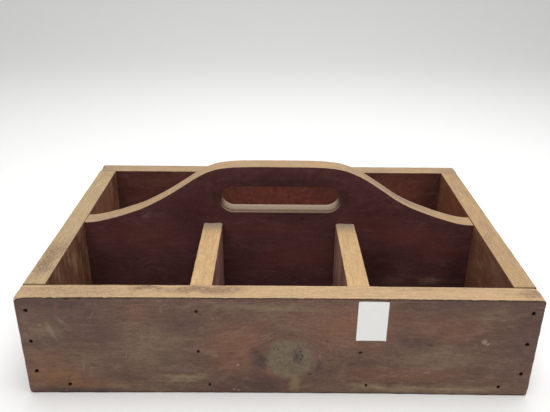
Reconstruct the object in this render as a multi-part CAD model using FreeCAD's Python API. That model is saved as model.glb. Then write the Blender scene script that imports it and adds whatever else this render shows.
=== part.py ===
import FreeCAD, Part
import os

# Open tool caddy: a nailed wooden box with a tall handle board along its middle and
# two dividers in front of it. Millimetres, +X along the length, +Y to the back, +Z up,
# origin on the table under the middle of the box.

# Case
case_width = 438.0  # over the outer faces of the end boards
case_depth = 303.0  # over the outer faces of the front and back boards
wall_height = 100.0
wall_thickness = 19.0
side_overhang = 1.5  # how far the front and back boards run past the end boards
bottom_thickness = 19.0

# Dividers
divider_thickness = 19.0
divider_spacing = 134.5  # from the middle of one to the middle of the other

# Handle board
handle_thickness = 19.0
handle_height = 161.2  # crest above the table
handle_end_drop = 1.0  # how far its ends stop below the rim
crest_sweep = 104.0  # reach of the level pull on the curve at the crest
shoulder_place = 54.0  # from the middle out to the control point of each shoulder
foot_sweep = 59.0  # reach of the curve that runs out level at each end
slot_length = 122.0
slot_offset = 1.2  # from the middle of the handle to the middle of the slot, to the right
slot_height = 27.4
grip_depth = 21.6  # wood above the slot

# Worn and sanded edges
rim_ease = 0.8
board_corner_round = 3.5  # ends of the front and back boards, seen from the front
grip_ease = 1.5  # around the slot, on both faces

# Finish nails, driven until the head is below the wood
nail_length = 38.0
nail_diameter = 1.9
nail_head_diameter = 2.7
nail_head_length = 1.5
nail_point_length = 3.0
nail_set = 2.0

# Where the nails go in
corner_nail_inset = 7.6  # from the outer face of the end board
corner_nail_count = 3
corner_nail_floor_gap = 5.0  # lowest nail above the bottom panel
corner_nail_rim_gap = 13.0  # highest nail below the rim
divider_nail_outset = 2.5  # from the middle of the divider, towards the end board
divider_nail_count = 2
divider_nail_floor_gap = 26.0
divider_nail_rim_gap = 14.0
handle_nail_count = 3
handle_nail_floor_gap = 12.0
handle_nail_rim_gap = 14.0
long_edge_nail_shares = (-0.92, -0.305, 0.385, 0.97)  # of half the bottom's length
short_edge_nail_shares = (-0.6, 0.0, 0.6)  # of half the bottom's depth
handle_foot_nail_shares = (-0.55, 0.0, 0.55)  # of half the handle board's length
divider_foot_nail_shares = (-0.35, 0.35)  # of half the divider's length

# Places that follow from the sizes
half_width = case_width / 2
half_depth = case_depth / 2
inside_x = half_width - wall_thickness
inside_y = half_depth - wall_thickness
handle_front = -handle_thickness / 2
handle_back = handle_front + handle_thickness
divider_length = handle_front + inside_y
divider_x = divider_spacing / 2
handle_end = wall_height - handle_end_drop
slot_radius = slot_height / 2
slot_bottom = handle_height - grip_depth - slot_height

LEFT, RIGHT = -1, 1
FRONT, BACK = -1, 1
TOLERANCE = 0.001


def point(x, y, z):
    return FreeCAD.Vector(x, y, z)


def plain_board(low, high):
    size = point(*high).sub(point(*low))
    return Part.makeBox(size.x, size.y, size.z, point(*low))


def ease(solid, radius, chosen):
    edges = [edge for edge in solid.Edges if chosen(edge.BoundBox)]
    return solid.makeFillet(radius, edges)


def near(a, b):
    return abs(a - b) < TOLERANCE


def spread(low, high, count):
    step = (high - low) / max(count - 1, 1)
    return [low + step * index for index in range(count)]


# Front and back boards cover the ends of the end boards and run a little past them.
def long_wall(side):
    outer = side * half_depth
    inner = side * inside_y
    end = half_width + side_overhang
    board = plain_board((-end, min(outer, inner), 0), (end, max(outer, inner), wall_height))
    board = ease(board, board_corner_round, lambda box: near(box.YLength, wall_thickness))

    def on_outer_face(box):
        return near(box.YMin, outer) and near(box.YMax, outer)

    def inner_rim(box):
        return near(box.YMin, inner) and near(box.YMax, inner) and near(box.ZMin, wall_height)

    return ease(board, rim_ease, lambda box: on_outer_face(box) or inner_rim(box))


# End boards stand between the front and back boards.
def end_wall(side):
    outer = side * half_width
    inner = side * inside_x
    board = plain_board(
        (min(outer, inner), -inside_y, 0), (max(outer, inner), inside_y, wall_height)
    )

    def worn(box):
        runs_front_to_back = near(box.YLength, 2 * inside_y)
        return runs_front_to_back and (near(box.ZMin, wall_height) or near(box.XMin, outer))

    return ease(board, rim_ease, worn)


# The bottom lies inside the four walls, flush with their lower edges.
def bottom_board():
    return plain_board((-inside_x, -inside_y, 0), (inside_x, inside_y, bottom_thickness))


# Dividers stand on the bottom between the front board and the handle board.
def divider(side):
    middle = side * divider_x
    half = divider_thickness / 2
    board = plain_board(
        (middle - half, -inside_y, bottom_thickness), (middle + half, handle_front, wall_height)
    )

    def top_edge(box):
        return near(box.YLength, divider_length) and near(box.ZMin, wall_height)

    return ease(board, rim_ease, top_edge)


# One half of the ogee: level at the crest, level again where it meets the end board.
def ogee(side):
    poles = [
        (0, handle_height),
        (crest_sweep, handle_height),
        (shoulder_place, handle_height),
        (inside_x - foot_sweep, handle_end),
        (inside_x, handle_end),
    ]
    curve = Part.BezierCurve()
    curve.setPoles([point(side * x, handle_front, z) for x, z in poles])
    return curve.toShape()


def handle_outline():
    foot = [
        point(LEFT * inside_x, handle_front, handle_end),
        point(LEFT * inside_x, handle_front, bottom_thickness),
        point(RIGHT * inside_x, handle_front, bottom_thickness),
        point(RIGHT * inside_x, handle_front, handle_end),
    ]
    edges = Part.makePolygon(foot).Edges + [ogee(RIGHT), ogee(LEFT)]
    return Part.Face(Part.Wire(Part.__sortEdges__(edges)))


# The slot is two bored holes joined by straight cuts.
def hand_slot():
    reach = slot_length / 2 - slot_radius
    middle = slot_bottom + slot_radius
    through = point(0, handle_thickness, 0)
    slot = plain_board(
        (slot_offset - reach, handle_front, slot_bottom),
        (slot_offset + reach, handle_back, slot_bottom + slot_height),
    )
    for side in (LEFT, RIGHT):
        centre = point(slot_offset + side * reach, handle_front, middle)
        slot = slot.fuse(Part.makeCylinder(slot_radius, handle_thickness, centre, through))
    return slot.removeSplitter()


def handle():
    board = handle_outline().extrude(point(0, handle_thickness, 0)).cut(hand_slot())

    def on_a_face(box):
        return near(box.YLength, 0)

    def round_slot(box):
        slot = hand_slot().BoundBox
        slot.enlarge(TOLERANCE)
        return on_a_face(box) and slot.isInside(box)

    def top_edge(box):
        return on_a_face(box) and near(box.ZMax, handle_height)

    board = ease(board, grip_ease, round_slot)
    return ease(board, rim_ease, top_edge)


# A nail, or the hole that it leaves, turned about the line it is driven along.
def turned(start, place, direction):
    head = nail_head_diameter / 2
    shank = nail_diameter / 2
    head_end = nail_set + nail_head_length
    tip = nail_set + nail_length
    profile = [
        point(0, 0, start),
        point(head, 0, start),
        point(head, 0, head_end - (head - shank)),
        point(shank, 0, head_end),
        point(shank, 0, tip - nail_point_length),
        point(0, 0, tip),
        point(0, 0, start),
    ]
    solid = Part.Face(Part.makePolygon(profile)).revolve(point(0, 0, 0), point(0, 0, 1), 360)
    turn = FreeCAD.Rotation(point(0, 0, 1), direction)
    solid.Placement = FreeCAD.Placement(place, turn)
    return solid


def nail(place, direction):
    return turned(nail_set, place, direction)


def nail_hole(place, direction):
    return turned(-nail_set, place, direction)


# Places and directions of the nails, each at the face where the head goes in.
def corner_nails(face, side):
    low = bottom_thickness + corner_nail_floor_gap
    high = wall_height - corner_nail_rim_gap
    x = side * (half_width - corner_nail_inset)
    heights = spread(low, high, corner_nail_count)
    return [(point(x, face * half_depth, z), point(0, -face, 0)) for z in heights]


def divider_heights():
    low = bottom_thickness + divider_nail_floor_gap
    return spread(low, wall_height - divider_nail_rim_gap, divider_nail_count)


def divider_front_nails(side):
    x = side * (divider_x + divider_nail_outset)
    return [(point(x, -half_depth, z), point(0, 1, 0)) for z in divider_heights()]


def divider_rear_nails(side):
    x = side * divider_x
    return [(point(x, handle_back, z), point(0, -1, 0)) for z in divider_heights()]


def divider_foot_nails(side):
    middle = (handle_front - inside_y) / 2
    places = [middle + share * divider_length / 2 for share in divider_foot_nail_shares]
    return [(point(side * divider_x, y, 0), point(0, 0, 1)) for y in places]


def long_edge_nails(face):
    z = bottom_thickness / 2
    places = [share * inside_x for share in long_edge_nail_shares]
    return [(point(x, face * half_depth, z), point(0, -face, 0)) for x in places]


def short_edge_nails(side):
    z = bottom_thickness / 2
    places = [share * inside_y for share in short_edge_nail_shares]
    return [(point(side * half_width, y, z), point(-side, 0, 0)) for y in places]


def handle_end_nails(side):
    low = bottom_thickness + handle_nail_floor_gap
    heights = spread(low, wall_height - handle_nail_rim_gap, handle_nail_count)
    return [(point(side * half_width, 0, z), point(-side, 0, 0)) for z in heights]


def handle_foot_nails():
    places = [share * inside_x for share in handle_foot_nail_shares]
    return [(point(x, 0, 0), point(0, 0, 1)) for x in places]


boards = {
    "front_board": long_wall(FRONT),
    "back_board": long_wall(BACK),
    "left_end_board": end_wall(LEFT),
    "right_end_board": end_wall(RIGHT),
    "bottom_panel": bottom_board(),
    "handle_board": handle(),
    "left_divider": divider(LEFT),
    "right_divider": divider(RIGHT),
}

# Each group of nails: where they are driven, the board they enter and the board they hold.
nail_groups = {
    "front_bottom_nails": (long_edge_nails(FRONT), "front_board", "bottom_panel"),
    "back_bottom_nails": (long_edge_nails(BACK), "back_board", "bottom_panel"),
    "handle_foot_nails": (handle_foot_nails(), "bottom_panel", "handle_board"),
}
for hand, side in (("left", LEFT), ("right", RIGHT)):
    end = hand + "_end_board"
    wall = hand + "_divider"
    nail_groups["front_" + hand + "_corner_nails"] = (corner_nails(FRONT, side), "front_board", end)
    nail_groups["back_" + hand + "_corner_nails"] = (corner_nails(BACK, side), "back_board", end)
    nail_groups[hand + "_end_bottom_nails"] = (short_edge_nails(side), end, "bottom_panel")
    nail_groups[hand + "_end_handle_nails"] = (handle_end_nails(side), end, "handle_board")
    nail_groups[wall + "_front_nails"] = (divider_front_nails(side), "front_board", wall)
    nail_groups[wall + "_rear_nails"] = (divider_rear_nails(side), "handle_board", wall)
    nail_groups[wall + "_foot_nails"] = (divider_foot_nails(side), "bottom_panel", wall)

pieces = {}
for name, (drives, entered, held) in nail_groups.items():
    pieces[name] = Part.makeCompound([nail(*drive) for drive in drives])
    holes = Part.makeCompound([nail_hole(*drive) for drive in drives])
    for board in (entered, held):
        boards[board] = boards[board].cut(holes)
pieces.update(boards)

os.makedirs("parts", exist_ok=True)
for name, shape in pieces.items():
    shape.exportStep("parts/" + name + ".step")
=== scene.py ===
import math

import bmesh
import bpy
import numpy as np
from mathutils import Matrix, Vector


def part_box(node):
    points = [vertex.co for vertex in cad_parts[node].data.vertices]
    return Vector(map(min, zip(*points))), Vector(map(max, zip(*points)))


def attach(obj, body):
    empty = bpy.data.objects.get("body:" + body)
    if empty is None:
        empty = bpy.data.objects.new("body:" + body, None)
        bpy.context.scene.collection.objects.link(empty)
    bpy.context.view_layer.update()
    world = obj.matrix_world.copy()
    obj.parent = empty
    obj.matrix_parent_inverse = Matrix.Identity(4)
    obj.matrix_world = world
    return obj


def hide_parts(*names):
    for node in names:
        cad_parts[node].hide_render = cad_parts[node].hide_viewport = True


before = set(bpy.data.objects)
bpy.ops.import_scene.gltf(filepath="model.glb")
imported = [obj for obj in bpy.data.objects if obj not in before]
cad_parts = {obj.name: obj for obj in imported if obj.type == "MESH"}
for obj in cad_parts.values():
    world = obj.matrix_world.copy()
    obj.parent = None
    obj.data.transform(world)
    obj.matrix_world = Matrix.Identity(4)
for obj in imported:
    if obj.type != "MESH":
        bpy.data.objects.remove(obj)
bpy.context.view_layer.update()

# Bottom panel: one flat board of planed hardwood, 19 mm thick, laid inside the four walls and
# nailed through them. Stained dark with the rest of the inside, and dulled by tools set on it.
MM = 0.001


def linear(code):
    """An sRGB hex colour as linear red, green, blue and full alpha."""
    parts = [int(code[i : i + 2], 16) / 255 for i in (1, 3, 5)]
    return [c / 12.92 if c <= 0.04045 else ((c + 0.055) / 1.055) ** 2.4 for c in parts] + [1.0]


WAVES = 7


def ripple(points, wave, seed):
    """A smooth random swell of about -1 to 1, its waves about wave millimetres long."""
    dice = np.random.default_rng(seed)
    swell = 0
    for _ in range(WAVES):
        way = dice.normal(size=points.shape[1])
        way *= 2 * math.pi / (np.linalg.norm(way) * wave * dice.uniform(0.6, 1.7))
        swell = swell + np.sin(points @ way + dice.uniform(0, 2 * math.pi))
    return swell / (WAVES / 2)


DEEPEST_ROUND = 6.0
EDGE_LINES = np.array((0, 0.25, 0.6, 1.1, 1.9, 2.9, 4.2, DEEPEST_ROUND))


def ladder(length, cell):
    """Grid lines along one side of a board, close together near its two worn edges."""
    steps = max(2, round((length - 2 * DEEPEST_ROUND) / cell) + 1)
    between = np.linspace(DEEPEST_ROUND, length - DEEPEST_ROUND, steps)
    return np.concatenate((EDGE_LINES[:-1], between, length - EDGE_LINES[-2::-1]))


def shell(lines):
    """Points and faces of a closed box whose six sides are ruled by the three sets of lines."""
    border = np.zeros([len(line) for line in lines], bool)
    for axis in range(3):
        np.moveaxis(border, axis, 0)[[0, -1]] = True
    number = np.full(border.shape, -1)
    number[border] = np.arange(border.sum())
    points = np.column_stack([line[at] for line, at in zip(lines, np.nonzero(border))])
    faces = []
    for axis in range(3):
        for end in (0, -1):
            sheet = np.take(number, end, axis)
            loop = (sheet[:-1, :-1], sheet[1:, :-1], sheet[1:, 1:], sheet[:-1, 1:])
            quads = np.stack(loop, -1).reshape(-1, 4)
            faces.append(quads if (end == -1) != (axis == 1) else quads[:, ::-1])
    return points, np.concatenate(faces)


def bitten(along, bites):
    """How deep the chips along an edge go. A bite is its place, its half length and its depth."""
    depth = np.zeros(len(along))
    for where, length, deep in bites:
        depth = depth + deep * np.exp(-(((along - where) / length) ** 4))
    return depth


SHARP, LEAST_ROUND = 0.3, 0.1
WEAR_WAVE, WEAR_SHARE = 22, 0.35


def wear_edges(points, low, high, eases, chips, seed):
    """Rounds the twelve edges of a box, each to its own radius, uneven along its length.
    An edge is named by its direction and the two sides that it joins, such as x-+."""
    middle, half = (low + high) / 2, (high - low) / 2
    around = points - middle
    for axis, letter in enumerate("xyz"):
        one, two = [a for a in range(3) if a != axis]
        for sides in ((-1, -1), (-1, 1), (1, -1), (1, 1)):
            name = letter + "".join("-+"[side > 0] for side in sides)
            along = points[:, axis]
            uneven = ripple(along[:, None], WEAR_WAVE, [seed, axis, sides[0] + 1, sides[1] + 1])
            radius = eases.get(name, SHARP) * (1 + WEAR_SHARE * uneven)
            radius = np.clip(radius + bitten(along, chips.get(name, ())), LEAST_ROUND, DEEPEST_ROUND)
            u = sides[0] * around[:, one] - half[one] + radius
            v = sides[1] * around[:, two] - half[two] + radius
            pull = np.maximum(u, v) / np.maximum(np.hypot(u, v), 1e-9)
            near = (u > 0) & (v > 0)
            around[near, one] = (sides[0] * (half[one] - radius + u * pull))[near]
            around[near, two] = (sides[1] * (half[two] - radius + v * pull))[near]
    return around + middle


def place_mesh(name, points, faces):
    """A mesh piece from points in millimetres, linked into the scene."""
    mesh = bpy.data.meshes.new(name)
    mesh.from_pydata((points * MM).tolist(), [], [list(face) for face in faces])
    piece = bpy.data.objects.new(name, mesh)
    bpy.context.scene.collection.objects.link(piece)
    return piece


def node_box(node):
    low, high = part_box(node)
    return np.array(low) / MM, np.array(high) / MM


NAILS_APART = 5


def nail_heads(node, way):
    """Middle of each nail's head in a group, read from the CAD nails. way is the drive direction."""
    low, high = node_box(node)
    axis = int(np.argmax(np.abs(way)))
    row = max((a for a in range(3) if a != axis), key=lambda a: high[a] - low[a])
    corners = np.array([v.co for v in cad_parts[node].data.vertices]) / MM
    values = np.sort(corners[:, row])
    runs = np.split(values, np.nonzero(np.diff(values) > NAILS_APART)[0] + 1)
    heads = np.tile((low + high) / 2, (len(runs), 1))
    heads[:, axis] = low[axis] if way[axis] > 0 else high[axis]
    heads[:, row] = [(run[0] + run[-1]) / 2 for run in runs]
    return heads


# A nail's bore: depth past the top of its head and radius, from the torn mouth to the point.
BORE_MOUTH = ((-5, 2.3), (-1, 1.55))
BORE_RINGS = BORE_MOUTH + ((-0.06, 1.4), (1.1, 1.4), (1.52, 1.0), (37, 1.0), (40.1, 0.1))
BORE_SIDES, TORN, MOST_OVAL = 12, 0.12, 0.35


def tube(rings):
    """Points and faces of a closed tube through rings of points, each ring in the same order."""
    count = len(rings[0])
    last = count * (len(rings) - 1)
    faces = [list(range(count))[::-1], list(range(last, last + count))]
    for start in range(0, last, count):
        for at in range(count):
            a, b = start + at, start + (at + 1) % count
            faces.append([a, b, b + count, a + count])
    return np.concatenate(rings), faces


def nail_bore(head, way, dice):
    """The hole that one set nail leaves: a ragged mouth in the face, then the nail's own shape."""
    axis = int(np.argmax(np.abs(way)))
    side, up = np.eye(3)[[(axis + 1) % 3, (axis + 2) % 3]]
    turns = np.linspace(0, 2 * math.pi, BORE_SIDES, endpoint=False)
    lean, oval = dice.uniform(0, math.pi), dice.uniform(0, MOST_OVAL)
    torn = TORN * dice.normal(size=BORE_SIDES) + oval * np.cos(turns - lean) ** 2
    rings = []
    for ring in BORE_RINGS:
        depth, radius = ring
        ragged = radius * (1 + torn * (ring in BORE_MOUTH))
        circle = ragged[:, None] * (np.cos(turns)[:, None] * side + np.sin(turns)[:, None] * up)
        rings.append(head + depth * np.array(way) + circle)
    points, faces = tube(rings)
    return points, [face[::-1] for face in faces] if way[axis] < 0 else faces


SLIVER = 0.003


def cut_away(piece, tool):
    """Leaves the piece with the tool's shape cut out of it, and welds the slivers of the cut."""
    bite = piece.modifiers.new("cut", "BOOLEAN")
    bite.object, bite.operation, bite.solver = tool, "DIFFERENCE", "EXACT"
    bpy.context.view_layer.update()
    solved = piece.evaluated_get(bpy.context.evaluated_depsgraph_get())
    uncut, piece.data = piece.data, bpy.data.meshes.new_from_object(solved)
    piece.modifiers.clear()
    piece.data.name = piece.name
    bpy.data.meshes.remove(uncut)
    bpy.data.meshes.remove(tool.data)
    skin = bmesh.new()
    skin.from_mesh(piece.data)
    bmesh.ops.dissolve_degenerate(skin, dist=SLIVER * MM, edges=skin.edges)
    skin.to_mesh(piece.data)
    skin.free()


FORWARD, BACKWARD = (0, -1, 0), (0, 1, 0)
TO_LEFT, TO_RIGHT, UPWARD = (-1, 0, 0), (1, 0, 0), (0, 0, 1)


def bore_for_nails(piece, drives, seed):
    """Bores the piece for every nail of the named groups."""
    dice = np.random.default_rng(seed)
    points, faces = [], []
    for node, way in drives.items():
        for head in nail_heads(node, way):
            bore, sides = nail_bore(head, way, dice)
            start = sum(len(p) for p in points)
            points.append(bore)
            faces += [[start + at for at in side] for side in sides]
    cut_away(piece, place_mesh("bores", np.concatenate(points), faces))


def tag(piece, name, measure):
    """Keeps a number, or three, on every point of the piece, from its place in millimetres."""
    places = np.array([v.co for v in piece.data.vertices]) / MM
    values = measure(places).astype(np.float32)
    if values.ndim == 1:
        piece.data.attributes.new(name, "FLOAT", "POINT").data.foreach_set("value", values)
    else:
        note = piece.data.attributes.new(name, "FLOAT_VECTOR", "POINT")
        note.data.foreach_set("vector", values.ravel())


HOLE_BELOW = 0.9
SEAM_REACH, SEAM_FADE = 1.6, 0.6


def tag_holes(piece, node, seam=0):
    """Marks the walls of the nail holes, which lie well below every face of the board, for painted
    shade, and paints shade into the joints: seam is how dark the last millimetre at the front and back of
    it is."""
    low, high = node_box(node)

    def dark(p):
        inset = np.minimum(p - low, high - p)
        hole = np.clip(inset.min(1) - HOLE_BELOW, 0, 1)
        joint = np.clip((SEAM_REACH - inset[:, 1]) / SEAM_FADE, 0, 1)
        return np.maximum(hole, seam * joint)

    tag(piece, "hole", dark)


CREASE = math.radians(38)


def smooth(piece):
    piece.data.shade_smooth()
    piece.data.set_sharp_from_angle(angle=CREASE)


SWELL_WAVE = 90


def sawn_board(node, eases, chips, cell, swell, seed, shave=((0, 0, 0), (0, 0, 0))):
    """A planed board in the place of its CAD node, with worn edges and a slight swell."""
    low, high = node_box(node)
    low, high = low + shave[0], high - shave[1]
    lines = [low[a] + ladder(high[a] - low[a], cell) for a in range(3)]
    points, faces = shell(lines)
    points = wear_edges(points, low, high, eases, chips, seed)
    thin = int(np.argmin(high - low))
    points[:, thin] += swell * ripple(points, SWELL_WAVE, seed)
    return points, faces


def connect(tree, node, inputs):
    """Sets or links a node's inputs, given by name or in their order."""
    for socket, value in inputs.items() if isinstance(inputs, dict) else enumerate(inputs):
        if isinstance(value, bpy.types.NodeSocket):
            tree.links.new(value, node.inputs[socket])
        else:
            node.inputs[socket].default_value = value


def add(tree, kind, inputs=(), out=0, **settings):
    """One node of the tree with its settings and inputs. Gives one of its outputs."""
    node = tree.nodes.new("ShaderNode" + kind)
    for key, value in settings.items():
        setattr(node, key, value)
    connect(tree, node, inputs)
    return node.outputs[out]


def new_material(name):
    """A material, its nodes, and the place on the object in metres."""
    material = bpy.data.materials.new(name)
    material.use_nodes = True
    tree = material.node_tree
    return material, tree, add(tree, "TexCoord", out="Object")


def figured(tree, wood, place, size, look, spread, tint=None, lean=None):
    """Lays a noise figure over the wood, its lumps about size millimetres across. look is its detail
    and roughness. spread is its range and what the ends of that give: a share of the tint or, with
    no tint, how light the wood is. lean names marks that raise the noise, and by how much."""
    lumps = {"Vector": place, "Scale": 1 / (size * MM), "Detail": look[0], "Roughness": look[1]}
    noise = add(tree, "TexNoise", lumps)
    if lean is not None:
        zone = add(tree, "Attribute", out="Fac", attribute_name=lean[0])
        noise = add(tree, "Math", (zone, lean[1], noise), operation="MULTIPLY_ADD")
    rise = add(tree, "MapRange", (noise, *spread))
    if tint is None:
        return add(tree, "MixRGB", (1.0, wood, rise), blend_type="MULTIPLY")
    return add(tree, "MixRGB", (rise, wood, tint))


def elsewhere(seed):
    """A shift into the noise, so that the figure does not run on from board to board."""
    return seed, seed * 0.7, seed * 1.3


def stain_coat(tree, place, grain, codes, seed):
    """Old brown stain rubbed into planed wood: broad blotches, finer mottling, faint streaks along
    the grain and dark pores. codes are the main, second and patchy stain, then the pores. Pores and
    streaks are drawn about three times as coarse as in the wood, so that they show."""
    main, second, patchy, pore = [linear(code) for code in codes]
    shift = elsewhere(seed)
    drift = add(tree, "Mapping", {"Vector": place, "Location": shift, "Scale": np.where(grain, 0.4, 1)})
    drawn = add(tree, "Mapping", {"Vector": place, "Location": shift, "Scale": np.where(grain, 0.06, 1)})
    dashed = add(tree, "Mapping", {"Vector": place, "Scale": np.where(grain, 0.14, 1)})
    coat = figured(tree, main, drift, 40, (5, 0.6), (0.4, 0.6, 0, 1), second)
    coat = figured(tree, coat, drift, 9, (6, 0.65), (0.48, 0.68, 0, 0.8), patchy)
    coat = figured(tree, coat, drawn, 1.8, (4, 0.6), (0.35, 0.65, 0.91, 1.09))
    coat = figured(tree, coat, place, 1.5, (2, 0.6), (0.35, 0.65, 0.86, 1.14))
    return figured(tree, coat, dashed, 0.9, (2, 0.5), (0.62, 0.75, 0, 0.5), pore)


def sanded_wood(tree, place, grain, codes, seed):
    """Bare edge wood sanded back through the stain: pale tan, faint straight grain, dark pore
    specks, and stain left in low places. codes are the wood, its warm streaks and left stain.
    Grain and specks are drawn about three times as coarse as in the wood, so that they show."""
    wood, warm, left = [linear(code) for code in codes]
    shift = elsewhere(seed)
    broad = add(tree, "Mapping", {"Vector": place, "Location": shift, "Scale": np.where(grain, 0.3, 1)})
    drawn = add(tree, "Mapping", {"Vector": place, "Location": shift, "Scale": np.where(grain, 0.05, 1)})
    short = {"Vector": place, "Location": elsewhere(seed + 1), "Scale": np.where(grain, 0.16, 1)}
    specks = add(tree, "Mapping", {"Vector": place, "Scale": np.where(grain, 0.24, 1)})
    bare = figured(tree, wood, broad, 12, (6, 0.65), (0.38, 0.62, 0, 1), warm)
    bare = figured(tree, bare, drawn, 1.8, (5, 0.68), (0.36, 0.64, 0.9, 1.1))
    bare = figured(tree, bare, place, 1.4, (3, 0.6), (0.36, 0.64, 0.9, 1.1))
    bare = figured(tree, bare, add(tree, "Mapping", short), 1.6, (4, 0.65), (0.36, 0.64, 0.92, 1.08))
    kept = add(tree, "Attribute", out="Fac", attribute_name="left")
    bare = add(tree, "MixRGB", (add(tree, "MapRange", (kept, 0, 1, 0, 0.3)), bare, left))
    bare = figured(tree, bare, place, 1.3, (2, 0.6), (0.62, 0.72, 0, 0.45), left)
    return figured(tree, bare, specks, 1.0, (4, 0.7), (0.6, 0.76, 0, 0.75), left, ("left", 0.26))


# How far the sanded border wanders and blurs, and where the dark line past it lies, in millimetres.
WANDER, BARE_BLUR = 0.2, 0.1
LINE_FROM, LINE_TO = 0.5, 1.6


def finish_wood(tree, place, grain, coat, bare, reach, line=0.2):
    """Lays the bare wood over the stain to about reach millimetres past the sanded edges, with a
    line just beyond that is darker stain and painted shade under the worn edge, and gives the
    whole its nail holes darkened with painted shade, its sheen and raised grain."""
    shade = linear("#1c110d")
    edge = add(tree, "Attribute", out="Fac", attribute_name="rim")
    grip = add(tree, "Attribute", out="Fac", attribute_name="grip")
    hole = add(tree, "Attribute", out="Fac", attribute_name="hole")
    crumbs = {"Vector": place, "Scale": 1 / (1.8 * MM), "Detail": 5, "Roughness": 0.7}
    wander = add(tree, "MapRange", (add(tree, "TexNoise", crumbs), 0.3, 0.7, -WANDER, WANDER))
    depth = add(tree, "Math", (edge, wander), operation="ADD")
    sanded = add(tree, "MapRange", (depth, reach + BARE_BLUR, reach - BARE_BLUR, 0, 1))
    worn = add(tree, "Math", (sanded, grip), operation="MAXIMUM")
    # The dark line past the sanded border: darker stain and painted shade under the worn edge.
    brink = add(tree, "MapRange", (depth, reach + LINE_TO, reach + LINE_FROM, 0, line))
    colour = add(tree, "MixRGB", (brink, coat, shade))
    colour = add(tree, "MixRGB", (worn, colour, bare))
    # Painted shade in the nail holes and joints; on the handle, grime and painted shade in its corners.
    colour = add(tree, "MixRGB", (hole, colour, shade))
    drawn = add(tree, "Mapping", {"Vector": place, "Scale": np.where(grain, 0.06, 1)})
    fibres = {"Vector": drawn, "Scale": 1 / (1.4 * MM), "Detail": 4, "Roughness": 0.7}
    dents = {"Vector": place, "Scale": 1 / (6 * MM), "Detail": 3, "Roughness": 0.6}
    dent = add(tree, "TexNoise", dents)
    height = add(tree, "Math", (add(tree, "TexNoise", fibres), dent), operation="ADD")
    bump = add(tree, "Bump", {"Height": height, "Strength": 0.3, "Distance": 0.25 * MM})
    polish = add(tree, "MapRange", (dent, 0.3, 0.7, 0.5, 0.66))
    rough = add(tree, "MapRange", (worn, 0, 1, polish, 0.8))
    skin = {"Base Color": colour, "Roughness": rough, "Normal": bump}
    skin.update({"IOR": 1.48, "Specular IOR Level": 0.2})
    connect(tree, tree.nodes["Principled BSDF"], skin)


ALONG_X, ALONG_Y, ALONG_Z = (1, 0, 0), (0, 1, 0), (0, 0, 1)

PANEL_SHAVE = ((0, 0, 0.4), (0, 0, 0))
FAR_FROM_RIM = 50
shape = sawn_board("bottom_panel", {}, {}, cell=6, swell=0.15, seed=3, shave=PANEL_SHAVE)
panel = place_mesh("bottom_board", *shape)
bore_for_nails(
    panel,
    {
        "front_bottom_nails": BACKWARD,
        "back_bottom_nails": FORWARD,
        "left_end_bottom_nails": TO_RIGHT,
        "right_end_bottom_nails": TO_LEFT,
        "handle_foot_nails": UPWARD,
        "left_divider_foot_nails": UPWARD,
        "right_divider_foot_nails": UPWARD,
    },
    seed=3,
)
tag(panel, "rim", lambda p: np.full(len(p), FAR_FROM_RIM))
smooth(panel)
# Dark stain on planed wood, never sanded back: a deep dull brown with paler rubbed clouds.
material, tree, place = new_material("bottom_dark_stained_wood")
coat = stain_coat(tree, place, ALONG_X, ("#4a2f27", "#43271f", "#5e483a", "#241311"), seed=2.1)
finish_wood(tree, place, ALONG_X, coat, coat, reach=0.4)
panel.data.materials.append(material)
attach(panel, "root")
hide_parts("bottom_panel")

# End boards: planed hardwood cut to fit between the front and back boards, with the grain
# running front to back. Nailed from the front and back; rims sanded bare, faces worn.
RIM_HEIGHT = node_box("left_end_board")[1][2]
HALF_BOARD = (node_box("handle_board")[1][1] - node_box("handle_board")[0][1]) / 2
# How far the outline of a patch strays, in millimetres, and the wave that it strays by.
STRAY_ACROSS, ACROSS_WAVE = 4, 30
STRAY_ALONG, ALONG_WAVE = 2, 24


def patches(across, along, spots, seed):
    """Soft patches on a face, the strongest at each place, their outlines strayed by a swell.
    A spot is its middle, its two half sizes and its strength."""
    drift = np.column_stack((across, along))
    across = across + STRAY_ACROSS * ripple(drift, ACROSS_WAVE, seed)
    along = along + STRAY_ALONG * ripple(drift, ALONG_WAVE, seed + 1)
    total = np.zeros(len(across))
    for x, z, wide, high, strength in spots:
        away = ((across - x) / wide) ** 2 + ((along - z) / high) ** 2
        total = np.maximum(total, strength * np.exp(-(away**1.5)))
    return total


# The sides that patches lie on, each by its two directions.
TOP, FACE, END_FACE = [0, 1], [0, 2], [1, 2]


def tag_patches(piece, name, plane, spots, seed):
    """Keeps soft patches on the piece, laid out on one of its sides."""
    tag(piece, name, lambda p: patches(*p[:, plane].T, spots, seed))


def patched(tree, coat, place, name, code):
    """Lays a colour over the coat where the named patches are, broken up by mottling."""
    zone = add(tree, "Attribute", out="Fac", attribute_name=name)
    mottle = {"Vector": place, "Scale": 1 / (7 * MM), "Detail": 6, "Roughness": 0.68}
    broken = add(tree, "MapRange", (add(tree, "TexNoise", mottle), 0.36, 0.64, 0.4, 1.35))
    share = add(tree, "Math", (zone, broken), operation="MULTIPLY", use_clamp=True)
    return add(tree, "MixRGB", (share, coat, linear(code)))


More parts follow.
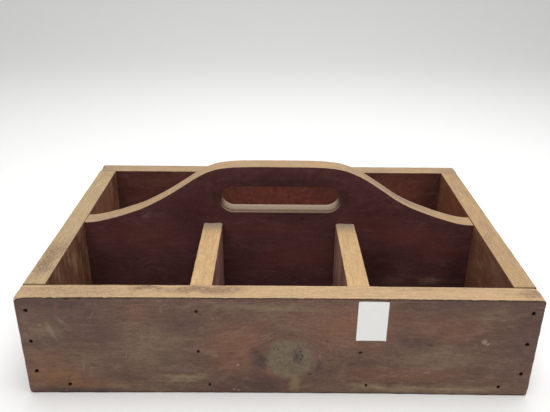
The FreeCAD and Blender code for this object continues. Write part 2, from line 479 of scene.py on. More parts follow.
OUTER_STAIN = ("#6e5447", "#5c463c", "#7a6853", "#33231e")
END_INSIDE = {
    "left": ("#8e654f", "#6c4736", "#b48e6d", "#33201a"),
    "right": ("#896049", "#764a38", "#9a7c60", "#38201a"),
}
END_BARE = {"left": ("#a69072", "#b09773", "#6c5347"), "right": ("#a4896a", "#ae906a", "#6c5347")}
END_LEFT_STAIN = {
    "left": ((-212, -88, 11, 36, 0.72), (-203, -74, 7, 26, 0.55), (-208, 120, 9, 12, 0.3)),
    "right": ((212, 118, 9, 14, 0.35), (206, -60, 5, 30, 0.25)),
}
END_RED = {
    "left": ((60, 60, 60, 50, 0.5), (-30, 40, 30, 25, 0.3)),
    "right": ((70, 60, 70, 60, 0.8), (-60, 40, 40, 30, 0.4)),
}
END_GAPS = {"left": ((0, 0.5, 0), (0, 0.5, 0)), "right": ((0, 0.2, 0), (0, 0.5, 0))}
for hand, side in (("left", -1), ("right", 1)):
    outer, inner = ("y-", "y+") if side < 0 else ("y+", "y-")
    eases = {outer + "+": 0.8, inner + "+": 0.6, outer + "-": 0.9}
    node = hand + "_end_board"
    seed = 11 + side
    shape = sawn_board(node, eases, {}, cell=4, swell=0.12, seed=seed, shave=END_GAPS[hand])
    end = place_mesh(hand + "_end", *shape)
    inward = TO_RIGHT if side < 0 else TO_LEFT
    bore_for_nails(
        end,
        {
            "front_" + hand + "_corner_nails": BACKWARD,
            "back_" + hand + "_corner_nails": FORWARD,
            hand + "_end_bottom_nails": inward,
            hand + "_end_handle_nails": inward,
        },
        seed,
    )
    middle = np.abs(node_box(node)[0][0] + node_box(node)[1][0]) / 2
    tag(end, "rim", lambda p: RIM_HEIGHT - p[:, 2])
    tag(end, "inside", lambda p: np.clip((middle - np.abs(p[:, 0])) / HALF_BOARD / 2 + 0.5, 0, 1))
    tag_patches(end, "left", TOP, END_LEFT_STAIN[hand], 61)
    tag_patches(end, "red", END_FACE, END_RED[hand], 63)
    # Painted shade in the joints with the front and back boards.
    tag_holes(end, node, seam=0.5)
    smooth(end)
    # Worn stain over planed wood: brown and blotchy, rubbed paler outside, streaked by tools inside.
    material, tree, place = new_material(hand + "_end_worn_stained_wood")
    outside = stain_coat(tree, place, ALONG_Y, OUTER_STAIN, seed=5.3 + side)
    scuffed = ALONG_Z if side < 0 else ALONG_Y
    inside = stain_coat(tree, place, scuffed, END_INSIDE[hand], seed=7.3 + side)
    inside = patched(tree, inside, place, "red", "#8a4833")
    within = add(tree, "Attribute", out="Fac", attribute_name="inside")
    coat = add(tree, "MixRGB", (within, outside, inside))
    bare = sanded_wood(tree, place, ALONG_Y, END_BARE[hand], seed=5.3 + side)
    finish_wood(tree, place, ALONG_Y, coat, bare, reach=0.4)
    end.data.materials.append(material)
    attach(end, "root")
    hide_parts(node)

# Back board: a full-length planed board nailed over the rear ends of the end boards and run a
# little past them. Redder inside, where the stain was left alone; its rim is sanded bare.
WALL_CORNERS = {"y--": 5.0, "y-+": 4.4, "y+-": 3.2, "y++": 4.0}
INSIDE_HALF = node_box("bottom_panel")[1][0]
BACK_LEFT_STAIN = ((-212, 142, 12, 12, 0.35), (212, 142, 14, 12, 0.4), (120, 139, 40, 5, 0.3))
BACK_RED = ((0, 60, 75, 30, 0.9), (150, 75, 40, 20, 0.4), (-90, 85, 30, 14, 0.3))
# Darker strips in the inner corners by the end boards: painted shade.
BACK_CORNER_SHADE = ((196, 60, 18, 60, 0.7), (-196, 60, 14, 60, 0.4))
eases = dict(WALL_CORNERS, **{"x++": 0.8, "x-+": 0.7, "x+-": 0.9, "z-+": 0.9, "z++": 0.9})
back = place_mesh("back_wall", *sawn_board("back_board", eases, {}, cell=2.6, swell=0.15, seed=22))
nails = ("back_bottom_nails", "back_left_corner_nails", "back_right_corner_nails")
bore_for_nails(back, dict.fromkeys(nails, FORWARD), seed=22)
# From the middle of the caddy to the middle of a long board's thickness.
WALL_MIDDLE = np.abs(node_box("back_board")[0][1] + node_box("back_board")[1][1]) / 2
STAIN_CREEP = 1.5


def facing_in(p, out):
    """0 on the outer face of a long board, 1 on its inner face between the end boards. out is how
    far each place is from the middle of the caddy, to the front or to the back."""
    inward = np.clip((WALL_MIDDLE - out) / HALF_BOARD / 2 + 0.5, 0, 1)
    between = np.clip((INSIDE_HALF + STAIN_CREEP - np.abs(p[:, 0])) / STAIN_CREEP, 0, 1)
    return inward * between


tag(back, "rim", lambda p: RIM_HEIGHT - p[:, 2])
tag(back, "inside", lambda p: facing_in(p, p[:, 1]))
tag_patches(back, "left", TOP, BACK_LEFT_STAIN, 65)
tag_patches(back, "red", FACE, BACK_RED, 67)
tag_patches(back, "dusk", FACE, BACK_CORNER_SHADE, 69)
tag_holes(back, "back_board")
smooth(back)
# The same worn stain: a blotchy brown skin outside, and a deeper mahogany red kept inside.
material, tree, place = new_material("back_worn_stained_wood")
outside = stain_coat(tree, place, ALONG_X, OUTER_STAIN, seed=10.3)
inside = stain_coat(tree, place, ALONG_X, ("#623a32", "#553129", "#6e473c", "#2a1612"), seed=5.3)
inside = patched(tree, inside, place, "red", "#945344")
# Painted shade in the inner corners by the end boards.
inside = patched(tree, inside, place, "dusk", "#41261f")
within = add(tree, "Attribute", out="Fac", attribute_name="inside")
coat = add(tree, "MixRGB", (within, outside, inside))
bare = sanded_wood(tree, place, ALONG_X, ("#a0886e", "#ab9070", "#7a5f55"), seed=10.3)
finish_wood(tree, place, ALONG_X, coat, bare, reach=0.6)
back.data.materials.append(material)
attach(back, "root")
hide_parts("back_board")

# Front board: the twin of the back board, bowed in a little at its middle so that its ends stand
# off the end boards. Its face is the most handled: rubbed, scratched, and dark round one knot.
FRONT_HALF = node_box("front_board")[1][0]
BOW_ENDS, BOW_RISE = 0.7, 1.5


def front_bow(x):
    """How far the front board stands back at each place along it."""
    return BOW_RISE * (1 - (x / FRONT_HALF) ** 2) - BOW_ENDS


# Chips along the front of the rim, closest together towards its left end.
dice = np.random.default_rng(27)
FRONT_CHIPS = [
    (where, dice.uniform(0.8, 1.8), dice.uniform(0.15, 0.6))
    for where in np.concatenate((dice.uniform(-206, -140, 12), dice.uniform(-140, 210, 10)))
]
# The inner edge of the rim is hardly worn where a divider stands against it.
DIVIDER_X = node_box("right_divider")[1][0] - HALF_BOARD
DIVIDER_SEATS = ((-DIVIDER_X, 10, -0.5), (DIVIDER_X, 10, -0.5))
eases = dict(WALL_CORNERS, **{"x-+": 0.7, "x++": 0.6, "x--": 0.9, "z--": 1.8, "z+-": 1.6})
chips = {"x-+": FRONT_CHIPS, "x++": DIVIDER_SEATS}
points, faces = sawn_board("front_board", eases, chips, cell=2.6, swell=0.12, seed=20)
points[:, 1] += front_bow(points[:, 0])
front = place_mesh("front_wall", points, faces)
nails = ("front_bottom_nails", "front_left_corner_nails", "front_right_corner_nails")
nails += ("left_divider_front_nails", "right_divider_front_nails")
bore_for_nails(front, dict.fromkeys(nails, BACKWARD), seed=20)
KNOT_X, KNOT_Z, KNOT_RADIUS = 9.5, 37.3, 20.5


def round_knot(p):
    """Places drawn so that straight grain flows round the knot."""
    away = np.hypot(p[:, 0] - KNOT_X, p[:, 2] - KNOT_Z)
    squeeze = 1 - (KNOT_RADIUS / np.maximum(away, KNOT_RADIUS)) ** 2
    flow = p.copy()
    flow[:, 2] = KNOT_Z + (p[:, 2] - KNOT_Z) * squeeze
    return flow * MM


FRONT_LEFT_STAIN = (
    (-112, -137, 20, 4, 0.85), (-62, -139, 36, 7, 0.85),
    (-88, -141, 16, 4, 0.6), (211, -143, 11, 8, 0.7),
    (120, -136, 40, 2.5, 0.35), (-190, -135, 16, 3, 0.4),
    (-172, -142, 60, 12, 0.42),
)
FRONT_KHAKI = (
    (-197, 70, 18, 18, 0.4), (-165, 30, 25, 14, 0.35),
    (-108, 46, 32, 28, 0.45), (-10, 89.5, 58, 3.2, 0.55),
    (-88, 17, 24, 4.5, 1.0), (-120, 7, 38, 6, 0.5),
    (125, 5, 72, 6, 0.75), (135, 40, 34, 16, 0.45),
    (180, 84, 22, 4, 0.3),
)
FRONT_AMBER = ((-198, 21, 24, 12, 0.75), (-172, 11, 30, 5, 0.65), (-200, 38, 16, 7, 0.35))
FRONT_SCUFFED = ((-112, 58, 40, 26, 1), (-75, 84, 20, 8, 0.7), (-175, 60, 25, 15, 0.5))
FRONT_RUST = (
    (-36, 48, 28, 28, 0.6), (65, 72, 42, 22, 0.6),
    (140, 70, 40, 14, 0.4), (-195, 72, 5, 5, 0.4),
    (-110, 80, 25, 10, 0.3), (-5, 24, 7, 4, 0.7),
    (100, 22, 70, 8, 0.35),
)
FRONT_PLUM = (
    (-182, 92, 40, 6, 0.8), (-172, 82, 48, 11, 0.5),
    (-155, 62, 35, 9, 0.5), (-88, 75, 24, 12, 0.55),
    (-197, 55, 22, 5, 0.5), (-17, 38, 7, 13, 1.0),
    (33, 34, 3, 9, 0.7), (-14, 9, 20, 9, 0.75),
    (-180, 3, 45, 3.5, 0.8), (118, 58, 18, 7, 0.6),
    (210, 60, 16, 40, 0.45), (38, 24, 16, 9, 0.5),
    (-98, 38, 12, 12, 0.4), (160, 96, 60, 4, 0.5),
)
KNOT_BLOTCH = ((16, 40.5, 5, 8, 1), (0, 49, 6, 3, 0.6), (20, 52, 5, 3, 0.6), (4, 30, 4, 3, 0.4))
# The sanded rim follows the round of the board's ends for this share of their radius.
ROUND_SHARE = 0.8
RUBBED_CORNER, RUBBED_FROM, RUBBED_REACH = 2.2, -207, 12
CHIPPED_FRONT = -145


def below_rim(p):
    """How far a place on the front board is below its rim, with its rounded ends and chips, and
    with the left corner rubbed bare further down."""
    radius = np.where(p[:, 0] < 0, WALL_CORNERS["y-+"], WALL_CORNERS["y++"])
    short = np.clip(radius - FRONT_HALF + np.abs(p[:, 0]), 0, ROUND_SHARE * radius)
    fallen = radius - np.sqrt(radius**2 - short**2)
    chipped = bitten(p[:, 0], FRONT_CHIPS) * (p[:, 1] < CHIPPED_FRONT)
    corner = RUBBED_CORNER * np.clip((RUBBED_FROM - p[:, 0]) / RUBBED_REACH, 0, 1) ** 2
    return np.maximum(RIM_HEIGHT - p[:, 2] - fallen - chipped - corner, 0)


tag(front, "rim", below_rim)
tag(front, "inside", lambda p: facing_in(p, front_bow(p[:, 0]) - p[:, 1]))
tag_patches(front, "left", TOP, FRONT_LEFT_STAIN, 71)
tag_patches(front, "khaki", FACE, FRONT_KHAKI, 73)
tag_patches(front, "rust", FACE, FRONT_RUST, 75)
tag_patches(front, "amber", FACE, FRONT_AMBER, 76)
tag_patches(front, "scuffed", FACE, FRONT_SCUFFED, 78)
tag_patches(front, "plum", FACE, FRONT_PLUM, 77)
tag_patches(front, "blotch", FACE, KNOT_BLOTCH, 79)
tag(front, "flow", round_knot)
low, high = node_box("front_board")
MOUTH_DARK, MOUTH_FADE = 0.5, 0.6


def in_a_hole(p):
    """Marks the walls of the nail holes, which lie below every face of the bowed board, for painted shade.
    """
    straight = p - np.outer(front_bow(p[:, 0]), (0, 1, 0))
    deep = np.minimum(straight - low, high - straight)[:, 1:].min(1)
    between = np.abs(p[:, 0]) < FRONT_HALF - DEEPEST_ROUND
    return np.clip((deep - MOUTH_DARK) / MOUTH_FADE, 0, 1) * between


tag(front, "hole", in_a_hole)
smooth(front)
# A mark starts to fade at the second of these shares of its half sizes, and is gone at the first.
MARK_FADE = (1.1, 0.3)


def marked(tree, coat, place, spot, code):
    """One scratch, nick, smear or stroke of painted shade on the front face: an oval by its middle,
    half sizes in millimetres, tilt in degrees and strength."""
    x, z, wide, high, tilt, strength = spot
    oval = {"Vector": place, "Location": (x * MM, 0, z * MM), "Scale": (wide * MM, 1, high * MM)}
    oval["Rotation"] = (0, math.radians(tilt), 0)
    inside = add(tree, "Mapping", oval, vector_type="TEXTURE")
    reach = add(tree, "VectorMath", (inside,), out="Value", operation="LENGTH")
    share = add(tree, "MapRange", (reach, *MARK_FADE, 0, strength))
    return add(tree, "MixRGB", (share, coat, linear(code)))


FRONT_MARKS = {
    "#9a8670": (
        (-170, 29, 0.45, 6.5, 0, 0.5), (-132, 40, 0.45, 6.5, 4, 0.4),
        (-156.5, 83.5, 0.4, 8, 36, 0.35), (-162.8, 72.2, 11, 0.35, 0, 0.35),
        (-124, 62.6, 8, 0.35, 0, 0.35), (-117, 60, 0.5, 5, 8, 0.25),
        (-138, 55, 14, 0.3, 3, 0.25), (129, 24, 3.5, 0.7, 5, 0.6),
        (92, 21, 4, 0.5, 0, 0.4), (98, 24, 3, 0.5, 0, 0.35),
        (112, 21, 2.5, 0.5, 0, 0.4), (150, 20.5, 5, 0.4, 0, 0.3),
        (35, 41, 1.2, 4, 0, 0.3),
    ),
    "#7f7360": (
        (-193, 66, 2.6, 11, -18, 0.55), (-183, 76, 2.2, 8, -48, 0.5),
        (-201.5, 72, 2, 1.5, 0, 0.6), (-99, 88, 2, 6, 10, 0.3),
    ),
    "#89775a": (
        (-82, 18, 24, 2.0, 2, 0.6), (-94, 13.5, 26, 1.4, 1, 0.45),
        (-66, 20.5, 12, 1.0, 3, 0.4), (-20, 91, 40, 2.2, 1, 0.2),
        (10, 88, 34, 2.0, 2, 0.2), (72, 9.5, 17, 3.2, 3, 0.45),
        (105, 5.5, 24, 2.4, 0, 0.5), (160, 6, 36, 2.6, 0, 0.55),
        (185, 8, 14, 1.5, 0, 0.4),
    ),
    "#85704f": ((14, 11, 6, 11.5, 4, 0.7), (7, 22, 6, 5, 30, 0.35)),
    "#b5a999": (
        (-40, 4, 1.2, 1, 0, 0.7), (-35, 3.5, 1.8, 0.5, 0, 0.7),
        (-36, 31, 1.5, 1, 20, 0.5), (175, 57.5, 3, 2.4, 20, 0.4),
        (178.5, 55.5, 2.6, 0.9, -30, 0.45),
    ),
    "#a08c6a": (
        (88, 7.5, 9, 2.0, 3, 0.4), (120, 7.5, 10, 1.5, 2, 0.45),
        (145, 6.5, 12, 1.3, -1, 0.45), (172, 6, 10, 1.4, 1, 0.4),
    ),
    # Dark strokes just under the chipped left part of the top edge: darker stain and painted shade under
    # the chips.
    "#2c1e19": (
        (-188, 98.4, 7, 0.7, 0, 0.85), (-176, 98.2, 4, 0.8, 0, 0.85),
        (-165, 98.4, 5, 0.7, 0, 0.85), (-149, 98.3, 9, 0.7, 0, 0.85),
        (-126, 98.6, 8, 0.6, 0, 0.6),
    ),
    "#3a2823": (
        (100, 12, 8, 1.0, 0, 0.4), (133, 12.5, 10, 1.2, 0, 0.4),
        (165, 11.5, 12, 1.0, 0, 0.35), (129, 53.7, 4, 1.0, -4, 0.85),
        (194, 71, 3.5, 0.9, 5, 0.75), (27.5, 21, 2.4, 0.9, 0, 0.8),
        (41.5, 56.7, 2.5, 0.8, 0, 0.75),
    ),
    "#1d1713": (
        (12.6, 38.5, 0.9, 0.8, 0, 0.75), (13.4, 35, 0.8, 1.1, 0, 0.75),
        (16.5, 33.5, 1.0, 0.8, 0, 0.75), (18.8, 36.5, 0.9, 1.6, 0, 0.75),
        (20, 41, 0.9, 2.2, 0, 0.7), (18.5, 45.5, 1.6, 0.9, 0, 0.7),
        (14, 46.5, 1.2, 0.7, 0, 0.6), (15, 41, 0.8, 0.8, 0, 0.6),
    ),
}
# Worn stain over planed wood: brown, blotched with rust, plum and khaki where it was rubbed or
# wetted, scratched pale and nicked dark, with the knot left a dull khaki grey.
material, tree, place = new_material("front_worn_stained_wood")
flow = add(tree, "Attribute", out="Vector", attribute_name="flow")
outside = stain_coat(tree, flow, ALONG_X, ("#674e42", "#5b443a", "#745d4f", "#2e201b"), seed=9.1)
tints = {"khaki": "#7b6954", "rust": "#7e5743", "amber": "#7f5a3f", "plum": "#4e3b38"}
for name, code in tints.items():
    outside = patched(tree, outside, place, name, code)
fine = {"Vector": flow, "Location": elsewhere(4.7), "Scale": np.where(ALONG_X, 0.12, 1)}
outside = figured(tree, outside, add(tree, "Mapping", fine), 1.3, (4, 0.7), (0.35, 0.65, 0.87, 1.13))
pale = linear("#9a8670")
outside = figured(tree, outside, place, 1.0, (3, 0.7), (0.66, 0.78, 0, 0.4), pale, ("scuffed", 0.12))
# The outlines of the knot and the marks are shaken by a few millimetres, so that none is a clean oval.
SHAKE = 6
jumble = {"Vector": place, "Scale": 1 / (6 * MM), "Detail": 6, "Roughness": 0.7}
jitter = add(tree, "TexNoise", jumble, out="Color")
centred = add(tree, "VectorMath", (jitter, (0.5, 0.5, 0.5)), operation="SUBTRACT")
shaken = add(tree, "VectorMath", (centred, [SHAKE * MM] * 3, place), operation="MULTIPLY_ADD")
# The knot: broken dark rings in the wood round it, then a lobed dull disc with a pitted heart.
RINGS_END, LOBE, DISC_END, DISC_FULL = 34, 14, 29, 25.5
knot = (KNOT_X * MM, node_box("front_board")[0][1] * MM, KNOT_Z * MM)
away = add(tree, "VectorMath", (shaken, knot), out="Value", operation="DISTANCE")
outward = add(tree, "CombineXYZ", (away,))
rings = {"Vector": outward, "Scale": 1 / (2.2 * MM), "Detail": 2, "Roughness": 0.6}
ring = add(tree, "MapRange", (add(tree, "TexNoise", rings), 0.5, 0.62, 0, 0.25))
ringed = add(tree, "MapRange", (away, RINGS_END * MM, KNOT_RADIUS * MM, 0, ring))
outside = add(tree, "MixRGB", (ringed, outside, linear("#43312b")))
dull = figured(tree, linear("#726552"), place, 5, (5, 0.6), (0.42, 0.6, 0, 1), linear("#665b47"))
dull = marked(tree, dull, shaken, (16, 40.5, 6, 10, 0, 0.75), "#57504b")
pit = linear("#332a23")
dull = figured(tree, dull, place, 1.3, (3, 0.6), (0.58, 0.66, 0, 0.75), pit, ("blotch", 0.16))
lobes = {"Vector": place, "Scale": 1 / (6 * MM), "Detail": 5, "Roughness": 0.7}
lobed = add(tree, "Math", (add(tree, "TexNoise", lobes), LOBE * MM, away), operation="MULTIPLY_ADD")
disc = add(tree, "MapRange", (lobed, DISC_END * MM, DISC_FULL * MM, 0, 0.85))
outside = add(tree, "MixRGB", (disc, outside, dull))
for code, spots in FRONT_MARKS.items():
    for spot in spots:
        outside = marked(tree, outside, shaken, spot, code)
# Painted shade along the lower edge, where the board stands on the floor.
SHADE_BAND_END, SHADE_BAND_FULL = 2.2, 0.4
height = add(tree, "SeparateXYZ", (place,), out="Z")
bottom_shade = add(tree, "MapRange", (height, SHADE_BAND_END * MM, SHADE_BAND_FULL * MM, 0, 0.8))
outside = add(tree, "MixRGB", (bottom_shade, outside, linear("#241812")))
inside = stain_coat(tree, place, ALONG_X, ("#6b5140", "#56342a", "#7d6850", "#2e1d17"), seed=3.3)
within = add(tree, "Attribute", out="Fac", attribute_name="inside")
coat = add(tree, "MixRGB", (within, outside, inside))
bare = sanded_wood(tree, place, ALONG_X, ("#b19675", "#ba9b75", "#6c5347"), seed=8.3)
finish_wood(tree, place, ALONG_X, coat, bare, reach=0.4, line=0.75)
front.data.materials.append(material)
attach(front, "root")
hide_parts("front_board")

# Handle board: one tall board of the same stock, its top sawn to an ogee and its slot made by two
# bored holes joined with a saw. Sanded round where the hand goes, and nailed through the ends.
CREST_SWEEP, SHOULDER_PLACE, FOOT_SWEEP, END_DROP = 104.0, 54.0, 59.0, 1.0
SLOT_LENGTH, SLOT_HEIGHT, SLOT_OFFSET, GRIP_DEPTH = 122.0, 27.4, 1.2, 21.6
low, high = node_box("handle_board")
SLOT_RADIUS = SLOT_HEIGHT / 2
SLOT_REACH = SLOT_LENGTH / 2 - SLOT_RADIUS
SLOT_MIDDLE = high[2] - GRIP_DEPTH - SLOT_RADIUS
foot = RIM_HEIGHT - END_DROP
crest = [(x, high[2]) for x in (0, CREST_SWEEP, SHOULDER_PLACE)]
poles = np.array(crest + [(high[0] - FOOT_SWEEP, foot), (high[0], foot)])
steps = np.linspace(0, 1, 400)[:, None]
ogee = sum(math.comb(4, k) * (1 - steps) ** (4 - k) * steps**k * poles[k] for k in range(5))
SAW_STRAY = ((-165, 19, 0.75), (97, 17, 1.1), (158, 19, 0.8), (200, 16, -0.45))


def handle_top(x):
    """Height of the sawn top: the drawn ogee, and how far the saw strayed off it."""
    return np.interp(np.abs(x), ogee[:, 0], ogee[:, 1]) + bitten(x, SAW_STRAY)


HANDLE_CELLS, HANDLE_SWELL, HANDLE_SEED = (2.6, 4, 5), 0.1, 31
lines = [low[a] + ladder(high[a] - low[a], cell) for a, cell in enumerate(HANDLE_CELLS)]
points, faces = shell(lines)
points = wear_edges(points, low, high, {"x-+": 0.7, "x++": 0.7}, {}, HANDLE_SEED)
# The worn edge keeps its shape along the curve, and the rows under it are drawn together to fit.
below = high[2] - points[:, 2]
local = handle_top(points[:, 0]) - low[2]
full = high[2] - low[2]
squeezed = DEEPEST_ROUND + (below - DEEPEST_ROUND) * (local - DEEPEST_ROUND) / (full - DEEPEST_ROUND)
points[:, 2] = handle_top(points[:, 0]) - np.where(below < DEEPEST_ROUND, below, squeezed)
points[:, 1] += HANDLE_SWELL * ripple(points, SWELL_WAVE, HANDLE_SEED)
handle = place_mesh("handle", points, faces)
SLOT_END_POINTS, SLOT_SIDE_POINTS = 25, 36


def slot_outline(grow):
    """Points round the slot, grown by grow millimetres."""
    turns = np.linspace(-math.pi / 2, math.pi / 2, SLOT_END_POINTS)[:, None]
    right = (SLOT_REACH, 0) + (SLOT_RADIUS + grow) * np.hstack((np.cos(turns), np.sin(turns)))
    flat = np.linspace(SLOT_REACH, -SLOT_REACH, SLOT_SIDE_POINTS)[1:-1]
    top = np.column_stack((flat, np.full(len(flat), SLOT_RADIUS + grow)))
    half = np.concatenate((right, top))
    return np.concatenate((half, -half))


SLOT_EASE, SLOT_RUN_OUT, SLOT_STEPS = 1.5, 2.0, 6
turn = np.linspace(0, math.pi / 2, SLOT_STEPS)
straight = np.linspace(SLOT_EASE, HALF_BOARD, SLOT_STEPS)[1:-1]
cuts = np.concatenate(([-SLOT_RUN_OUT], SLOT_EASE * (1 - np.cos(turn)), straight))
flares = np.concatenate(([SLOT_EASE], SLOT_EASE * (1 - np.sin(turn)), np.zeros(len(straight))))
cuts = np.concatenate((low[1] + cuts, high[1] - cuts[::-1]))
flares = np.concatenate((flares, flares[::-1]))
rings = []
for y, grow in zip(cuts, flares):
    outline = slot_outline(grow)
    level = np.full(len(outline), y)
    rings.append(np.column_stack((SLOT_OFFSET + outline[:, 0], level, SLOT_MIDDLE + outline[:, 1])))
points, faces = tube(rings)
cut_away(handle, place_mesh("slot", points, [face[::-1] for face in faces]))
bore_for_nails(
    handle,
    {
        "left_end_handle_nails": TO_RIGHT,
        "right_end_handle_nails": TO_LEFT,
        "left_divider_rear_nails": FORWARD,
        "right_divider_rear_nails": FORWARD,
        "handle_foot_nails": UPWARD,
    },
    HANDLE_SEED,
)
STATIONS = np.arange(-200, 201.0)


def below_top(p):
    """How far a place on the handle is from its sanded top, square to the curve."""
    slope = np.interp(p[:, 0], STATIONS, np.gradient(handle_top(STATIONS)))
    return (handle_top(p[:, 0]) - p[:, 2]) / np.hypot(1, slope)


def from_slot(p):
    """How far a place is outside the slot's straight walls."""
    past = np.maximum(np.abs(p[:, 0] - SLOT_OFFSET) - SLOT_REACH, 0)
    return np.hypot(past, p[:, 2] - SLOT_MIDDLE) - SLOT_RADIUS


GRIP_PLACES = (-9.5, -8.3, -7.4, -5.4, -3.5, 9.5)
GRIP_SHARES = (0.55, 0.5, 0.25, 0.25, 0.85, 1.0)
GRIP_LIP, LIP_FADE = SLOT_EASE - 0.5, 0.4
GRIP_TOP, GRIP_FADE = SLOT_MIDDLE - 2, 8
OFF_THE_SLOT, OFF_THE_LIP = 5, 1.4


def gripped(p):
    """How bare the slot's walls are rubbed: the floor most, the front of the floor less, and the
    ceiling not at all. The shares run from the front of the board to its back."""
    within = np.clip((GRIP_LIP - from_slot(p)) / LIP_FADE, 0, 1)
    lower = np.clip((GRIP_TOP - p[:, 2]) / GRIP_FADE, 0, 1)
    return within * lower * np.interp(p[:, 1], GRIP_PLACES, GRIP_SHARES)


HANDLE_LEFT_STAIN = ((128, 3, 38, 5, 0.35), (-150, 4, 30, 4, 0.3), (0, 6, 40, 3, 0.2))
HANDLE_DUSTY = ((120, 1.5, 34, 4.5, 0.9),)
HANDLE_RED = (
    (95, 100, 34, 9, 0.4), (135, 84, 34, 10, 0.55),
    (172, 68, 24, 10, 0.45), (-140, 84, 45, 16, 0.35),
    (-20, 92, 60, 8, 0.3), (20, 60, 40, 14, 0.3),
)
HANDLE_DUSK = (
    (0, 138, 120, 32, 0.95), (-85, 114, 34, 20, 0.75),
    (92, 116, 30, 20, 0.75), (105, 55, 18, 26, 0.6),
    (-170, 45, 30, 20, 0.4),
)
# Grime round the slot, and painted shade low on the face in the compartments, mostly in the corners by the
# end boards.
HANDLE_GRIME_AND_SHADE = (
    (0, 144, 58, 5, 0.4), (-64, 128, 5, 11, 0.35),
    (66, 128, 5, 11, 0.35), (0, 108, 60, 2, 0.25),
    (190, 42, 15, 34, 0.35), (100, 42, 20, 24, 0.25),
    (-190, 40, 14, 32, 0.25),
)
HANDLE_KHAKI = ((163, 32, 15, 4, 0.4), (-137, 107, 4, 3, 0.5), (120, 30, 20, 6, 0.15))
tag(handle, "rim", below_top)
tag(handle, "grip", gripped)


def on_top(p, spots, seed):
    """Patches on the top edge alone, and not on the slot below it."""
    return patches(p[:, 0], p[:, 1], spots, seed) * (from_slot(p) > OFF_THE_SLOT)


tag(handle, "dusty", lambda p: on_top(p, HANDLE_DUSTY, 91))
tag(handle, "left", lambda p: on_top(p, HANDLE_LEFT_STAIN, 81))
tag_patches(handle, "red", FACE, HANDLE_RED, 83)
tag_patches(handle, "dusk", FACE, HANDLE_DUSK, 85)
tag_patches(handle, "khaki", FACE, HANDLE_KHAKI, 87)
tag(handle, "hole", lambda p: patches(p[:, 0], p[:, 2], HANDLE_GRIME_AND_SHADE, 89) * (from_slot(p) > OFF_THE_LIP))
smooth(handle)
# Deep mahogany stain, little worn: nearly black red, with redder bands along the grain.
material, tree, place = new_material("handle_mahogany_stained_wood")
coat = stain_coat(tree, place, ALONG_X, ("#583635", "#4e2d2e", "#63403d", "#281415"), seed=6.1)
for name, code in (("red", "#70382c"), ("dusk", "#462524"), ("khaki", "#8a7a64")):
    coat = patched(tree, coat, place, name, code)
bare = sanded_wood(tree, place, ALONG_X, ("#a3886d", "#ab8d6b", "#6c5347"), seed=6.1)
for name, code in (("dusty", "#897468"), ("grip", "#b9a28c")):
    share = add(tree, "Attribute", out="Fac", attribute_name=name)
    bare = add(tree, "MixRGB", (share, bare, linear(code)))
finish_wood(tree, place, ALONG_X, coat, bare, reach=0.4)
handle.data.materials.append(material)
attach(handle, "root")
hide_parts("handle_board")

# Dividers: two short boards of the same stock between the front board and the handle board,
# nailed at both ends and from below. Their tops are flush with the rim and sanded with it.
# The right divider's stain is lighter than the left's, partly painted light for the light falling on its
# side.
DIVIDER_STAINS_AND_LIGHT = {
    "left": ("#9e7368", "#845a50", "#bb9a8b", "#38251f"),
    "right": ("#b08574", "#8e6253", "#caa692", "#462d26"),
}
DIVIDER_TUCK = ((0, 0.75, 0), (0, 0.1, 0))
DUSTIEST, DUSTY_FROM, DUSTY_FADE = 0.85, -32, 14
for hand, side in (("left", -1), ("right", 1)):
    node = hand + "_divider"
    eases = {"y-+": 0.9, "y++": 0.9, "x-+": 0.15, "x++": 2.2, "z-+": 3.6, "z++": 3.6}
    seed = 41 + side
    shape = sawn_board(node, eases, {}, cell=4, swell=0.12, seed=seed, shave=DIVIDER_TUCK)
    divider = place_mesh(hand + "_partition", *shape)
    drives = {node + "_front_nails": BACKWARD, node + "_rear_nails": FORWARD, node + "_foot_nails": UPWARD}
    bore_for_nails(divider, drives, seed)
    tag(divider, "rim", lambda p: RIM_HEIGHT - p[:, 2])
    tag(divider, "dusty", lambda p: DUSTIEST * np.clip((p[:, 1] - DUSTY_FROM) / DUSTY_FADE, 0, 1))
    tag_holes(divider, node)
    smooth(divider)
    # Stain scuffed by tools: brown with pale upright streaks, painted lighter on the right divider for the
    # light that falls on its side; the sanded top is a warm yellow tan.
    material, tree, place = new_material(hand + "_divider_stained_wood")
    coat = stain_coat(tree, place, ALONG_Z, DIVIDER_STAINS_AND_LIGHT[hand], seed=8.1 + side)
    bare = sanded_wood(tree, place, ALONG_Y, ("#b8996f", "#c09e73", "#7d6752"), seed=8.1 + side)
    dusty = add(tree, "Attribute", out="Fac", attribute_name="dusty")
    bare = add(tree, "MixRGB", (dusty, bare, linear("#9f8a77")))
    finish_wood(tree, place, ALONG_Y, coat, bare, reach=0.4)
    divider.data.materials.append(material)
    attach(divider, "root")
    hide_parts(node)

# Finish nails: drawn steel wire with small barrel heads, driven and then set below the wood.
# Only the heads show, at the bottom of their holes, dulled brown by rust.
# Drawn steel under a thin skin of rust: dark and dull, blistered brown, with a weak metal gleam.
material, tree, place = new_material("rusted_steel_wire")
blisters = {"Vector": place, "Scale": 1 / (0.6 * MM), "Detail": 4, "Roughness": 0.6}
blister = add(tree, "TexNoise", blisters)
share = add(tree, "MapRange", (blister, 0.4, 0.6, 0, 1))
rust = add(tree, "MixRGB", (share, linear("#2b2422"), linear("#4a3026")))
bump = add(tree, "Bump", {"Height": blister, "Strength": 0.5, "Distance": 0.05 * MM})
rough = add(tree, "MapRange", (blister, 0, 1, 0.5, 0.9))
skin = {"Base Color": rust, "Roughness": rough, "Normal": bump, "Metallic": 0.6}
connect(tree, tree.nodes["Principled BSDF"], skin)
for name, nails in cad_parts.items():
    if name.endswith("_nails"):
        nails.data.materials.clear()
        nails.data.materials.append(material)

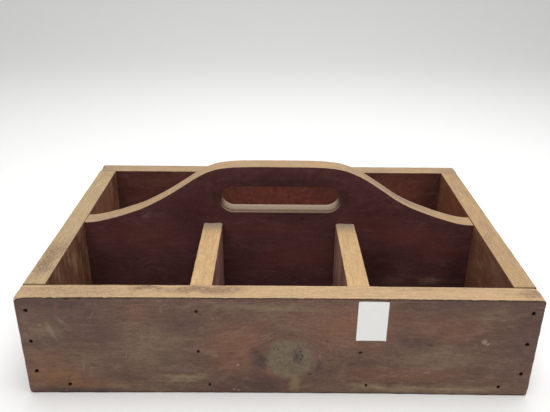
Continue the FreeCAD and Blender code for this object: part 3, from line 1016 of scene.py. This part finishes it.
# Label: a small white paper sticker, pressed onto the front board by hand and left blank.
# Its adhesive has let go a little at the corners, which lift off the wood.
LABEL_LOW, LABEL_HIGH = np.array((65.3, 58.0)), np.array((90.8, 97.0))
LABEL_TILT, PAPER, STAND_OFF = math.radians(-0.3), 0.16, 0.25
LABEL_GRID, CORNER_LIFT, CORNER_CURL = (15, 21), 0.5, 7
across = np.linspace(LABEL_LOW[0], LABEL_HIGH[0], LABEL_GRID[0])
upward = np.linspace(LABEL_LOW[1], LABEL_HIGH[1], LABEL_GRID[1])
points, faces = shell([across, np.array([-PAPER, 0.0]), upward])
centre, half = (LABEL_LOW + LABEL_HIGH) / 2, (LABEL_HIGH - LABEL_LOW) / 2
around = points[:, [0, 2]] - centre
lift = np.prod(np.abs(around / half) ** CORNER_CURL, 1)
points[:, 0] = centre[0] + around[:, 0] * math.cos(LABEL_TILT) - around[:, 1] * math.sin(LABEL_TILT)
points[:, 2] = centre[1] + around[:, 0] * math.sin(LABEL_TILT) + around[:, 1] * math.cos(LABEL_TILT)
points[:, 1] += node_box("front_board")[0][1] + front_bow(points[:, 0]) - STAND_OFF
points[:, 1] -= CORNER_LIFT * lift
label = place_mesh("paper_label", points, faces)
smooth(label)
# Uncoated label paper: an even matt white with a faint fibre, drawn coarser than real to show.
material, tree, place = new_material("white_label_paper")
fibres = {"Vector": place, "Scale": 1 / (1.5 * MM), "Detail": 5, "Roughness": 0.6}
fibre = add(tree, "TexNoise", fibres)
share = add(tree, "MapRange", (fibre, 0.3, 0.7, 0, 1))
paper = add(tree, "MixRGB", (share, linear("#dcdcda"), linear("#e6e5e3")))
bump = add(tree, "Bump", {"Height": fibre, "Strength": 0.2, "Distance": 0.05 * MM})
connect(tree, tree.nodes["Principled BSDF"], {"Base Color": paper, "Roughness": 0.6, "Normal": bump})
label.data.materials.append(material)
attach(label, "root")

# Studio: a pale floor that sweeps up behind, one broad soft light overhead and a weak front fill.
# The camera stands where the photograph was taken from.
FLOOR_FRONT, FLOOR_HALF, SWEEP, SWEEP_TOP = -3.0, 4.0, 1.2, 4.0
profile = [(FLOOR_FRONT, 0.0), (-1.0, 0.0), (SWEEP / 2, 0.0), (SWEEP, 0.0)]
for turn in np.linspace(0.1, math.pi / 2, 14):
    profile.append((SWEEP + SWEEP * math.sin(turn), SWEEP - SWEEP * math.cos(turn)))
profile += [(2 * SWEEP, 2 * SWEEP), (2 * SWEEP, SWEEP_TOP)]
points = np.array([(x, y, z) for y, z in profile for x in (-FLOOR_HALF, FLOOR_HALF)]) / MM
faces = [(2 * row, 2 * row + 1, 2 * row + 3, 2 * row + 2) for row in range(len(profile) - 1)]
floor = place_mesh("studio_floor", points, faces)
floor.data.shade_smooth()
# Matt background paper: a plain even white that takes soft shadows and gives no gleam.
material, tree, place = new_material("white_paper_sweep")
connect(tree, tree.nodes["Principled BSDF"], {"Base Color": linear("#fcfcfa"), "Roughness": 0.9})
floor.data.materials.append(material)

world = bpy.data.worlds.new("studio_air")
bpy.context.scene.world = world
world.use_nodes = True
air = world.node_tree.nodes["Background"]
connect(world.node_tree, air, {"Color": linear("#ffffff"), "Strength": 0.42})


def lamp(name, place, target, size, power):
    """A soft rectangular light, in metres and watts, turned towards its target."""
    data = bpy.data.lights.new(name, "AREA")
    data.shape, data.size, data.size_y, data.energy = "RECTANGLE", size[0], size[1], power
    light = bpy.data.objects.new(name, data)
    light.location = place
    x, y, z = np.array(target) - np.array(place)
    light.rotation_euler = (math.atan2(math.hypot(x, y), -z), 0, math.atan2(x, -y) + math.pi)
    bpy.context.scene.collection.objects.link(light)


lamp("overhead", place=(0.12, 0.1, 1.2), target=(0, 0, 0), size=(1.3, 1.1), power=12.6)
lamp("front_fill", place=(-0.2, -1.3, 1.2), target=(0, 0, 0.05), size=(1.2, 0.9), power=8.6)

view = bpy.data.cameras.new("photo_view")
view.sensor_width = 36
view.lens = 41.559
camera = bpy.data.objects.new("photo_view", view)
camera.location = (-0.005677, -0.595482, 0.386367)
camera.rotation_euler = [math.radians(a) for a in (65.4465, -0.431, 0.0678)]
bpy.context.scene.collection.objects.link(camera)
bpy.context.scene.camera = camera
bpy.context.scene.view_settings.view_transform = "Standard"
